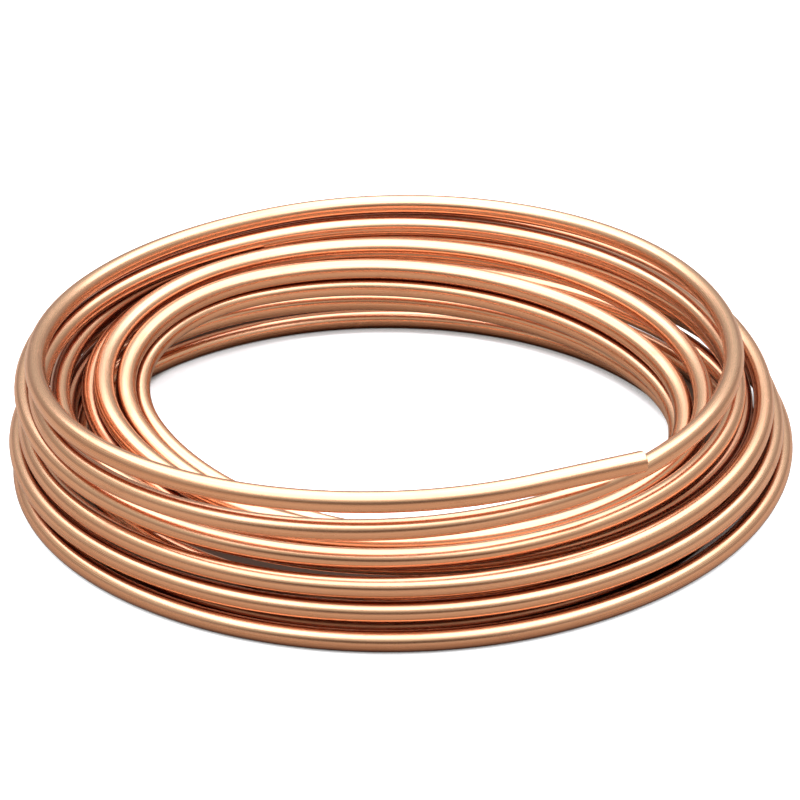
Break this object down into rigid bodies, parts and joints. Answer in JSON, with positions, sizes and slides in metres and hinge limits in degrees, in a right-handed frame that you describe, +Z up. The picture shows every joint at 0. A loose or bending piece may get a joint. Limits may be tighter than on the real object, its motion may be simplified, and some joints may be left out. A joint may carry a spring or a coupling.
{
  "type": "copper tube coil",
  "caption": "Loose coil of soft copper tube, lying flat, with its turns in two uneven layers and one straight cut end on top.",
  "frame": {"origin": "centre of the coil's bounding box, on the floor the coil lies on", "axes": "+Z up along the axis of the coil's eye; -Y towards the pass where the upper end leaves the coil; the upper cut end points along +X"},
  "size_m": [0.316, 0.3176, 0.0651],
  "materials": {
    "copper": "bright annealed copper, satin along the draw lines"
  },
  "bodies": {
    "root": {"copper_tube": "copper"}
  },
  "joints": []
}
